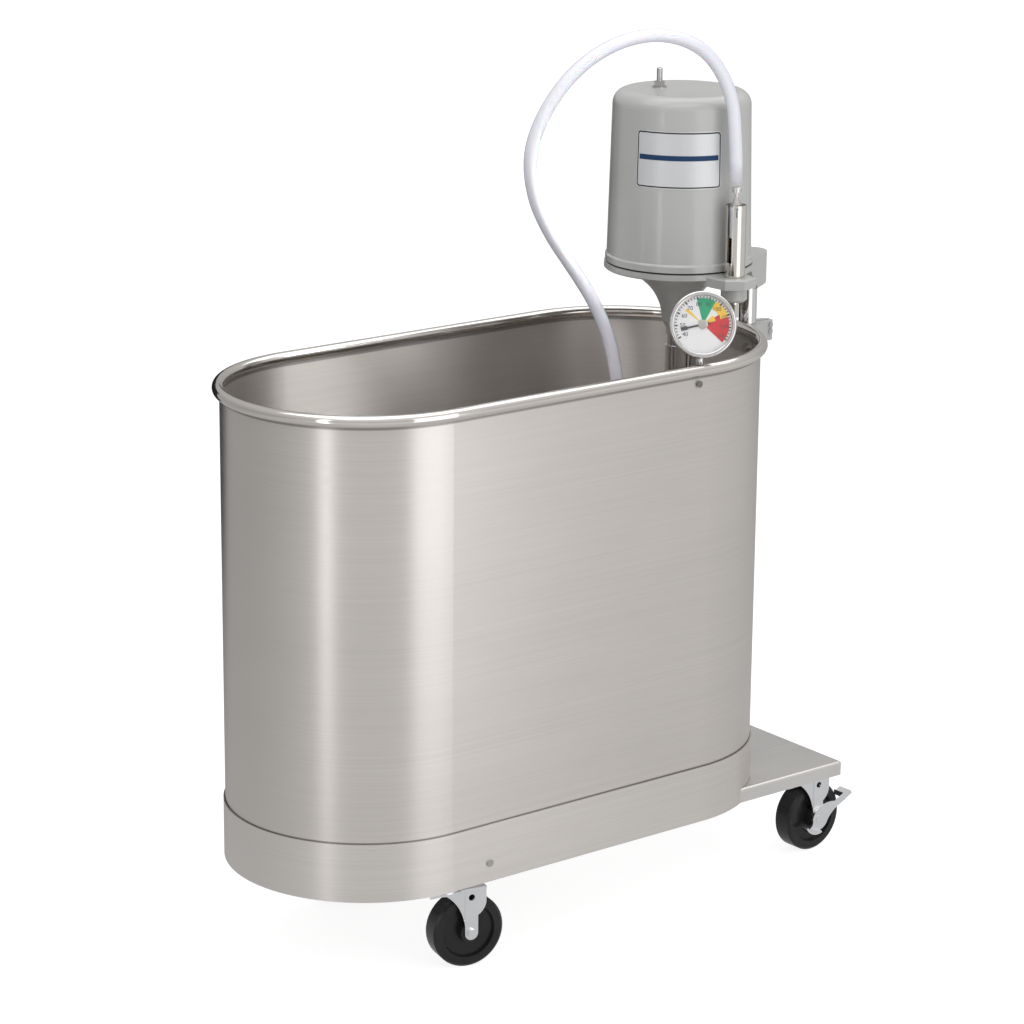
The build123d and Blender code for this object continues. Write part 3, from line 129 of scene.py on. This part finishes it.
def noise(tree, stretch, detail, roughness=0.55):
    """Noise over the piece's own coordinates, in metres times the stretch."""
    coords = add_node(tree, "TexCoord")
    mapping = add_node(tree, "Mapping", Vector=coords.outputs["Object"], Scale=stretch)
    texture = add_node(
        tree, "TexNoise",
        Vector=mapping.outputs["Vector"], Scale=1.0, Detail=detail, Roughness=roughness,
    )
    return texture.outputs["Fac"]


def ramp(tree, factor, stops):
    """A colour ramp over a factor; stops are (position, colour)."""
    node = add_node(tree, "ValToRGB", factor)
    elements = node.color_ramp.elements
    while len(elements) < len(stops):
        elements.new(0.5)
    for element, (position, colour) in zip(elements, stops):
        element.position = position
        element.color = (*colour, 1.0)
    return node.outputs["Color"]


def shades(tree, factor, colour, low, high, start=0.3, end=0.7):
    """A colour times low to high, as the factor goes from start to end."""
    return ramp(tree, factor, [
        (start, tuple(channel * low for channel in colour)),
        (end, tuple(channel * high for channel in colour)),
    ])


def spread(tree, factor, low, high, start=0.3, end=0.7):
    """A number from low to high, as the factor goes from start to end."""
    node = add_node(
        tree, "MapRange",
        Value=factor, From_Min=start, From_Max=end, To_Min=low, To_Max=high,
    )
    return node.outputs["Result"]


def math_node(tree, operation, first, second):
    """Two numbers joined by an operation."""
    node = add_node(tree, "Math", first, second)
    node.operation = operation
    return node.outputs["Value"]


def product(tree, first, second):
    """One colour times another."""
    node = add_node(tree, "MixRGB", 1.0, first, second)
    node.blend_type = "MULTIPLY"
    return node.outputs["Color"]


def axis_of(tree, output, axis):
    """One coordinate of the shaded point, or of the direction looked in."""
    coords = add_node(tree, "TexCoord")
    return add_node(tree, "SeparateXYZ", coords.outputs[output]).outputs[axis]


def dip(tree, heights, tone):
    """1 over the piece's height, and the tone between the middle two of four heights."""
    low, start, end, high = heights
    stops = ((low, 1.0), (start, tone), (end, tone), (high, 1.0))
    part = spread(tree, axis_of(tree, "Object", "Z"), 0.0, 1.0, low, high)
    return ramp(tree, part, [((z - low) / (high - low), (value,) * 3) for z, value in stops])


def bump(tree, shader, height, strength, distance):
    """Fine relief; the distance is in metres."""
    node = add_node(tree, "Bump", Strength=strength, Distance=distance, Height=height)
    feed(tree, shader, Normal=node.outputs["Normal"])


# Materials
def material(name, **values):
    """A material with a Principled shader whose inputs are fed."""
    made = bpy.data.materials.new(name)
    made.use_nodes = True
    tree = made.node_tree
    return made, tree, feed(tree, tree.nodes["Principled BSDF"], **values)


def brushed(
    name, colour, grain, rough, anisotropy=0.0, contrast=0.06, depth=0.00002, cloudy=0.03, metallic=1.0
):
    """Brushed metal whose grain runs along the axes with a small stretch."""
    made, tree, shader = material(name, Metallic=metallic, Anisotropic=anisotropy)
    fine = noise(tree, grain, detail=6.0, roughness=0.7)
    cloud = noise(tree, (5.0, 5.0, 9.0), detail=3.0)
    streaks = shades(tree, fine, colour, 1 - contrast, 1 + contrast)
    clouds = shades(tree, cloud, (1.0,) * 3, 1 - cloudy, 1.0)
    feed(
        tree, shader,
        Base_Color=product(tree, streaks, clouds),
        Roughness=spread(tree, fine, rough - 0.05, rough + 0.05),
    )
    bump(tree, shader, fine, 0.3, depth)
    if anisotropy:
        tangent = add_node(tree, "Tangent")
        tangent.direction_type = "RADIAL"
        tangent.axis = "Z"
        feed(tree, shader, Tangent=tangent.outputs["Tangent"], Anisotropic_Rotation=0.25)
    return made


def polished(name, colour, rough):
    """Plated or polished metal with faint smudges."""
    made, tree, shader = material(name, Metallic=1.0)
    cloud = noise(tree, (60.0,) * 3, detail=3.0)
    feed(
        tree, shader,
        Base_Color=shades(tree, cloud, colour, 0.95, 1.0),
        Roughness=spread(tree, cloud, rough, rough + 0.05),
    )
    return made


def enamel(name, colour, rough, peel, coat):
    """Glossy paint with orange peel and a little unevenness."""
    made, tree, shader = material(
        name, Roughness=rough, Coat_Weight=coat, Coat_Roughness=0.12
    )
    fine = noise(tree, (peel,) * 3, detail=2.0)
    cloud = noise(tree, (14.0,) * 3, detail=3.0)
    feed(tree, shader, Base_Color=shades(tree, cloud, colour, 0.975, 1.025, 0.1, 0.9))
    bump(tree, shader, fine, 0.22, 0.0002)
    return made


def rubber(name, colour, rough):
    """Dull black rubber with a little dust."""
    made, tree, shader = material(name, Specular_IOR_Level=0.3)
    grain = noise(tree, (700.0,) * 3, detail=3.0)
    dust = noise(tree, (25.0,) * 3, detail=4.0)
    feed(
        tree, shader,
        Base_Color=shades(tree, dust, colour, 1.0, 1.6, 0.35, 0.75),
        Roughness=spread(tree, dust, rough - 0.06, rough + 0.08),
    )
    bump(tree, shader, grain, 0.25, 0.0002)
    return made


def print_ink(name, colour, rough=0.45):
    """Printed colour or plain paint with little gloss."""
    made, tree, shader = material(name, Specular_IOR_Level=0.2)
    cloud = noise(tree, (500.0,) * 3, detail=2.0)
    feed(
        tree, shader,
        Base_Color=shades(tree, cloud, colour, 0.92, 1.0),
        Roughness=spread(tree, cloud, rough - 0.03, rough + 0.05),
    )
    return made


def vinyl(name):
    """Milky vinyl with painted shade that darkens it towards its edges as they turn from view, and
    clear over the nipple it is pushed on.
    """
    made, tree, shader = material(
        name, Roughness=0.16, IOR=1.45, Subsurface_Weight=0.2, Subsurface_Scale=0.004
    )
    # painted shade: the colour darkens where the surface turns away from view
    facing_away = add_node(tree, "LayerWeight", Blend=0.35).outputs["Facing"]
    milk_and_edge_shade = ramp(tree, facing_away, [(0.0, (0.79, 0.80, 0.86)), (0.75, (0.62, 0.63, 0.73))])
    cloud = noise(tree, (40.0,) * 3, detail=2.0)
    colour = product(tree, milk_and_edge_shade, shades(tree, cloud, (1.0,) * 3, 0.97, 1.0))
    stretch = dip(tree, hose_clear_stretch, 0.12)
    elsewhere = spread(tree, axis_of(tree, "Object", "X"), 1.0, 0.0, *hose_clear_side)
    alpha = math_node(tree, "MAXIMUM", stretch, elsewhere)
    feed(tree, shader, Base_Color=colour, Alpha=alpha)
    return made


def dress_wall(wall):
    """A polished rim bead, and painted shade as dark lines at its root and at the skirt's edge."""
    tree = wall.node_tree
    shader = tree.nodes["Principled BSDF"]
    colour = shader.inputs["Base Color"].links[0].from_socket
    rough = shader.inputs["Roughness"].links[0].from_socket
    on_rim = spread(tree, axis_of(tree, "Object", "Z"), 0.0, 1.0, rim_z, rim_z + 0.001)
    polish = add_node(tree, "Mix", Factor=on_rim, A=rough, B=rim_rough)
    # painted shade: a dark line at the rim bead's root
    shade_painted = product(tree, colour, dip(tree, rim_root_painted_shade, 0.50))
    # painted shade: a dark line at the skirt's edge
    shade_painted = product(tree, shade_painted, dip(tree, skirt_edge_painted_shade, 0.42))
    feed(tree, shader, Base_Color=shade_painted, Roughness=polish.outputs["Result"])


wall_grain = (2.0, 2.0, 420.0)
wall_steel = brushed(
    "wall_steel", (0.70, 0.665, 0.635), wall_grain, 0.40, anisotropy=0.8, contrast=0.05
)
dress_wall(wall_steel)
skirt_steel = brushed(
    "skirt_steel", (0.75, 0.715, 0.685), wall_grain, 0.40, anisotropy=0.8, contrast=0.05
)
platform_steel = brushed(
    "platform_steel", (0.78, 0.76, 0.74), (5.0, 300.0, 5.0), 0.32, contrast=0.03, cloudy=0.12
)
plain_steel = brushed("plain_steel", (0.55, 0.54, 0.53), (60.0, 60.0, 240.0), 0.36)
motor_steel = brushed("motor_steel", (0.20, 0.20, 0.21), (20.0, 20.0, 1400.0), 0.45)
zinc = brushed(
    "zinc_plate", (0.83, 0.84, 0.86), (30.0, 30.0, 30.0), 0.20, contrast=0.025, depth=0.000002
)
plate_metal = brushed(
    "plate_metal", (0.62, 0.63, 0.64), (900.0, 900.0, 30.0), 0.38, contrast=0.04, metallic=0.35
)
chrome = polished("chrome_plate", (0.68, 0.67, 0.66), 0.06)
nickel = polished("nickel_plate", (0.66, 0.63, 0.59), 0.12)
screw_steel = polished("screw_steel", (0.52, 0.51, 0.50), 0.10)
dark_steel = polished("dark_steel", (0.24, 0.23, 0.22), 0.14)
bronze = polished("bush_bronze", (0.50, 0.34, 0.18), 0.30)
cover_paint = enamel("cover_paint", (0.43, 0.433, 0.424), 0.26, peel=900.0, coat=0.6)
casting_paint = enamel("casting_paint", (0.42, 0.425, 0.415), 0.34, peel=420.0, coat=0.35)
wheel_rubber = rubber("wheel_rubber", (0.013, 0.013, 0.014), 0.26)
gasket_rubber = rubber("gasket_rubber", (0.022, 0.022, 0.022), 0.5)
hose_vinyl = vinyl("hose_vinyl")
dial_white = print_ink("dial_white", (0.80, 0.80, 0.81))
ink_black = print_ink("ink_black", (0.02, 0.02, 0.022))
ink_green = print_ink("ink_green", (0.005, 0.35, 0.16))
ink_yellow = print_ink("ink_yellow", (0.87, 0.56, 0.05))
ink_red = print_ink("ink_red", (0.62, 0.02, 0.03))
ink_blue = print_ink("ink_blue", (0.012, 0.045, 0.12))
pointer_paint = print_ink("pointer_paint", (0.05, 0.05, 0.05))
lens_glass, _, _ = material("lens_glass", Roughness=0.03, IOR=1.47, Alpha=0.04)

finish = {
    "tank_shell": wall_steel,
    "base_skirt": skirt_steel,
    "platform": platform_steel,
    "hose": hose_vinyl,
    "thermometer_dial": dial_white,
    "thermometer_lens": lens_glass,
    "thermometer_pointer": pointer_paint,
    "turbine_casting": casting_paint,
    "post_bracket": casting_paint,
    "motor_cover": cover_paint,
    "valve_sleeve": nickel,
    "hose_nipple": nickel,
    "boss_plug": nickel,
    "column_tube": chrome,
    "riser_tube": chrome,
    "post_bush": bronze,
    "cord_gland": gasket_rubber,
    "cover_gasket": gasket_rubber,
    "drain_body": plain_steel,
    "drain_nut": nickel,
    "drain_stopper": gasket_rubber,
    "thermometer_clip": dark_steel,
    "clip_screw": dark_steel,
}
by_slot = {
    "structure_steel": plain_steel,
    "screws": screw_steel,
    "zinc": zinc,
    "wheel_rubber": wheel_rubber,
    "chrome": chrome,
    "motor_steel": motor_steel,
}
slot_of = {row["node"]: row["material_slot"] for row in frame["record"]["subparts"]}
for name, node in nodes.items():
    node.data.materials.clear()
    node.data.materials.append(finish.get(name) or by_slot[slot_of[name]])


# Pieces
def mesh_piece(name, verts, faces, mat, body, smooth=False):
    """A mesh of the object that rides on a body."""
    mesh = bpy.data.meshes.new(name)
    mesh.from_pydata(verts, [], faces)
    mesh.materials.append(mat)
    for polygon in mesh.polygons:
        polygon.use_smooth = smooth
    made = add_object(name, mesh)
    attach(made, body)
    return made


# Hose: the route of the solid, as one smooth spline
hose_radius = 0.009
hose_route = [
    (0.241, -0.119, 0.927), (0.241, -0.119, 0.992), (0.237, -0.119, 1.058), (0.235, -0.112, 1.124),
    (0.206, -0.093, 1.181), (0.147, -0.079, 1.206), (0.082, -0.066, 1.202), (0.024, -0.051, 1.173),
    (-0.018, -0.037, 1.124), (-0.042, -0.025, 1.063), (-0.030, -0.018, 0.998), (0.003, -0.014, 0.942),
    (0.045, -0.012, 0.891), (0.085, -0.010, 0.839), (0.116, -0.008, 0.781), (0.131, -0.008, 0.717),
    (0.138, -0.008, 0.652), (0.138, -0.008, 0.586), (0.135, -0.006, 0.521), (0.129, -0.006, 0.455),
    (0.125, -0.005, 0.390),
]
hose_curve = bpy.data.curves.new("hose_line", "CURVE")
hose_curve.dimensions = "3D"
hose_curve.resolution_u = 16
hose_curve.bevel_depth = hose_radius
hose_curve.bevel_resolution = 6
hose_curve.use_fill_caps = True
hose_spline = hose_curve.splines.new("NURBS")
hose_spline.points.add(len(hose_route) - 1)
for point, place in zip(hose_spline.points, hose_route):
    point.co = (*place, 1.0)
hose_spline.order_u = 3
hose_spline.use_endpoint_u = True
hose_curve.materials.append(hose_vinyl)
hose = add_object("hose_line", hose_curve)
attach(hose, "turbine")
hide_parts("hose")


# Thermometer dial: colour bands, numbers and marks
band_step = 4            # degrees that one face of a band spans
zone_hole = 0.004        # radii of the colour zones
zone_middle = 0.0175
zone_shoulder = 0.024
zone_rim = 0.0350
number_radius = 0.0272
number_size = 0.0076
number_lift = 0.0001
mark_rim = 0.0375
mark_lift = 0.00015
dial_values = range(40, 140, 10)
scale_start = -120       # degrees from the top, where the lowest number stands
number_step = 27         # degrees from one number to the next
marks_per_number = 4
mark_step = number_step / marks_per_number
mark_count = (len(dial_values) - 1) * marks_per_number + 1


def on_dial(angle, radius, lift=0.0):
    """A point of the dial; the angle runs clockwise from the top, in degrees."""
    turn = math.radians(angle)
    flat = dial_right * math.sin(turn) + dial_up * math.cos(turn)
    return dial_centre + flat * radius + dial_normal * (dial_face + lift)


def band(name, start, end, inner, outer, mat, lift=0.0):
    """A sector of the dial between two angles and two radii."""
    steps = max(3, round(abs(end - start) / band_step))
    verts, faces = [], []
    for i in range(steps + 1):
        angle = start + (end - start) * (i / steps)
        verts += [on_dial(angle, inner, lift), on_dial(angle, outer, lift)]
        if i:
            faces.append((2 * i, 2 * i + 1, 2 * i - 1, 2 * i - 2))
    return mesh_piece(name, verts, faces, mat, "tub")


def dial_number(text, angle, mat):
    """A number printed on the dial, upright round its middle."""
    curve = bpy.data.curves.new(f"number_{text}", "FONT")
    curve.body = text
    curve.size = number_size
    curve.align_x = "CENTER"
    curve.align_y = "CENTER"
    curve.materials.append(mat)
    made = add_object(f"dial_number_{text}", curve)
    place = on_dial(angle, number_radius, number_lift)
    made.matrix_world = turned_to(place, dial_right, dial_up, dial_normal)
    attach(made, "tub")


band("dial_green", -14, 29, zone_hole, zone_rim, ink_green)
band("dial_yellow_outer", 29, 73, zone_shoulder, zone_rim, ink_yellow)
band("dial_yellow_inner", 46, 76, zone_hole, zone_middle, ink_yellow)
band("dial_red", 73, 133, zone_hole, zone_rim, ink_red)
band("dial_red_inner", 58, 73, zone_middle, zone_shoulder, ink_red)
band("dial_yellow_thin", -53, -44, 0.005, 0.0300, ink_yellow)
for i, number in enumerate(dial_values):
    dial_number(str(number), scale_start + i * number_step, ink_black)
for i in range(mark_count):
    middle = scale_start + i * mark_step
    half, foot = (1.5, 0.0335) if i % marks_per_number == 0 else (0.9, 0.0350)
    band(f"dial_mark_{i}", middle - half, middle + half, foot, mark_rim, ink_black, lift=mark_lift)


# Pointer hub and stem collar
def lathe(name, outline, centre, axis, mat, body, steps=32):
    """A round piece: the outline is (radius, height) pairs along the axis."""
    side = axis.orthogonal().normalized()
    other = axis.cross(side)
    verts, faces = [], []
    for i in range(steps):
        turn = 2 * math.pi * i / steps
        out = side * math.cos(turn) + other * math.sin(turn)
        verts += [centre + out * radius + axis * height for radius, height in outline]
    count = len(outline)
    for i in range(steps):
        for j in range(count - 1):
            a = i * count + j
            b = (i + 1) % steps * count + j
            faces.append((a, b, b + 1, a + 1))
    return mesh_piece(name, verts, faces, mat, body, smooth=True)


hub_outline = [(0.0001, 0.00236), (0.0040, 0.00236), (0.0056, 0.00228), (0.0062, 0.00212)]
collar_outline = [
    (0.0033, 0.0), (0.0046, 0.0008), (0.0048, 0.0020),
    (0.0048, 0.0238), (0.0046, 0.0246), (0.0033, 0.0250),
]
lathe("pointer_hub", hub_outline, dial_centre, dial_normal, nickel, "pointer")
lathe("stem_collar", collar_outline, stem_foot, Vector((0, 0, 1)), chrome, "tub")


# Bare plate on the motor cover, with a plain border and a plain band
plate_left = 191.5       # degrees from +X
plate_right = 263.5
plate_low = 0.992
plate_high = 1.070
plate_band_inset = 3.0   # degrees
plate_band_low = 1.0305
plate_band_high = 1.0375
plate_columns = 16
same_height = 0.00001


def on_cover(turn, z, lift):
    """A point of the cover's side; the turn is from +X, in degrees."""
    part = (z - cover_foot[0]) / (cover_head[0] - cover_foot[0])
    radius = cover_foot[1] + (cover_head[1] - cover_foot[1]) * part + lift
    angle = math.radians(turn)
    return Vector((turbine_x + radius * math.cos(angle), radius * math.sin(angle), z))


def cover_patch(name, left, right, low, high, corner, lift, mat):
    """A thin curved plate with rounded corners on the cover's side."""
    across = math.degrees(corner / cover_foot[1])
    outline = []
    for centre_turn, centre_z, first in (
        (right - across, high - corner, 0), (left + across, high - corner, 90),
        (left + across, low + corner, 180), (right - across, low + corner, 270),
    ):
        for degrees in range(first, first + 91, 15):
            turn = math.radians(degrees)
            outline.append((
                centre_turn + across * math.cos(turn), centre_z + corner * math.sin(turn)
            ))
    rows = sorted({round(z, 6) for _, z in outline})
    row_size = plate_columns + 1
    verts, faces = [], []
    for row_z in rows:
        reach = [turn for turn, z in outline if abs(z - row_z) < same_height]
        start, end = min(reach), max(reach)
        for k in range(row_size):
            verts.append(on_cover(start + (end - start) * k / plate_columns, row_z, lift))
    for j in range(len(rows) - 1):
        for k in range(plate_columns):
            a = j * row_size + k
            faces.append((a, a + 1, a + row_size + 1, a + row_size))
    return mesh_piece(name, verts, faces, mat, "turbine", smooth=True)


for name, turn_inset, inset, corner, lift, mat in (
    ("plate_margin", 0.0, 0.0, 0.0050, 0.0003, plate_metal),
    ("plate_border", 0.9, 0.0014, 0.0042, 0.0005, ink_black),
    ("plate_face", 1.9, 0.0032, 0.0030, 0.0007, plate_metal),
):
    cover_patch(
        name, plate_left + turn_inset, plate_right - turn_inset,
        plate_low + inset, plate_high - inset, corner, lift, mat,
    )
cover_patch(
    "plate_band", plate_left + plate_band_inset, plate_right - plate_band_inset,
    plate_band_low, plate_band_high, 0.0004, 0.0009, ink_blue,
)


# Stage: pale floor, plain studio light
def from_front(tree, output, back, front, reach):
    """A strength that grows from the back of the room to its front."""
    return spread(tree, axis_of(tree, output, "Y"), front, back, -reach, reach)


def floor_material():
    """A pale floor that the camera sees as white with its shadow, and metal as a pale grey."""
    made = bpy.data.materials.new("floor")
    made.use_nodes = True
    tree = made.node_tree
    tree.nodes.clear()
    plain = add_node(tree, "BsdfDiffuse", Color=(0.8,) * 3)
    shadowed = add_node(tree, "BsdfDiffuse", Color=(0.34,) * 3)
    glow = add_node(tree, "Emission", Strength=0.86)
    seen = add_node(tree, "AddShader", shadowed.outputs[0], glow.outputs[0])
    mirrored = add_node(tree, "Emission", Strength=from_front(tree, "Object", 0.44, 0.76, 1.6))
    path = add_node(tree, "LightPath").outputs
    other = add_node(
        tree, "MixShader", path["Is Glossy Ray"], plain.outputs[0], mirrored.outputs[0]
    )
    mix = add_node(tree, "MixShader", path["Is Camera Ray"], other.outputs[0], seen.outputs[0])
    add_node(tree, "OutputMaterial", mix.outputs[0])
    return made


def studio_world():
    """A white background, and room light that is brighter from the front and from above."""
    made = bpy.data.worlds.new("studio")
    made.use_nodes = True
    tree = made.node_tree
    tree.nodes.clear()
    height = spread(tree, axis_of(tree, "Generated", "Z"), 0.82, 1.5, 0.0, 1.0)
    front = from_front(tree, "Generated", 0.48, 0.68, 0.6)
    strength = math_node(tree, "MULTIPLY", front, height)
    room = add_node(tree, "Background", Color=(1.0, 0.995, 0.99), Strength=strength)
    white = add_node(tree, "Background", Color=(1.0,) * 3, Strength=1.0)
    path = add_node(tree, "LightPath").outputs
    mix = add_node(tree, "MixShader", path["Is Camera Ray"], room.outputs[0], white.outputs[0])
    add_node(tree, "OutputWorld", mix.outputs[0])
    return made


def rectangle(name, width, height, mat):
    """A flat rectangular mesh round its own middle."""
    x, y = width / 2, height / 2
    mesh = bpy.data.meshes.new(name)
    mesh.from_pydata([(-x, -y, 0), (x, -y, 0), (x, y, 0), (-x, y, 0)], [], [(0, 1, 2, 3)])
    mesh.materials.append(mat)
    return mesh


def beside(azimuth, distance, height):
    """A place round the tank; azimuth 0 is towards -Y, 90 towards +X."""
    turn = math.radians(azimuth)
    return tub_x + distance * math.sin(turn), -distance * math.cos(turn), height


def panel(name, place, target, width, height, power, beam=180.0):
    """A soft panel at a place that faces a target; a narrow beam lights only what is ahead."""
    light = bpy.data.lights.new(name, "AREA")
    light.shape = "RECTANGLE"
    light.size = width
    light.size_y = height
    light.energy = power
    light.spread = math.radians(beam)
    made = add_object(name, light)
    made.matrix_world = facing(place, target)
    made.visible_camera = False


def flag(name, place, target, width, height):
    """A black board that only reflections show."""
    black, _, _ = material(f"{name}_black", Base_Color=(0.01,) * 3, Roughness=1.0)
    board = add_object(name, rectangle(name, width, height, black))
    board.matrix_world = facing(place, target)
    for ray in ("camera", "diffuse", "shadow", "transmission"):
        setattr(board, f"visible_{ray}", False)


floor_side = 80.0
floor = add_object("floor", rectangle("floor", floor_side, floor_side, floor_material()))
scene.world = studio_world()

lamp_distance = 1.7
lamp_height = 0.86
wall_middle = (tub_x, 0, lamp_height)
panel(
    "panel_front", beside(9, lamp_distance, lamp_height), wall_middle,
    width=1.06, height=1.7, power=6.6,
)
panel(
    "panel_left", beside(-68, lamp_distance, lamp_height), wall_middle,
    width=0.20, height=1.7, power=1.9,
)
panel("panel_top", (0.40, -0.10, 2.5), (0.40, -0.099, 0), width=3.8, height=1.9, power=27.0)
panel(
    "panel_inside", (0.32, -0.49, 1.45), (-0.19, 0.19, 0.69),
    width=0.14, height=0.20, power=0.17, beam=20.0,
)
panel(
    "panel_streak", (-0.20, -0.35, 1.10), (0.225, 0.160, 0.69),
    width=0.04, height=0.30, power=0.022, beam=12.0,
)
flag("flag_back", beside(172, 1.9, 0.6), (tub_x, 0, 0.6), width=1.5, height=1.2)
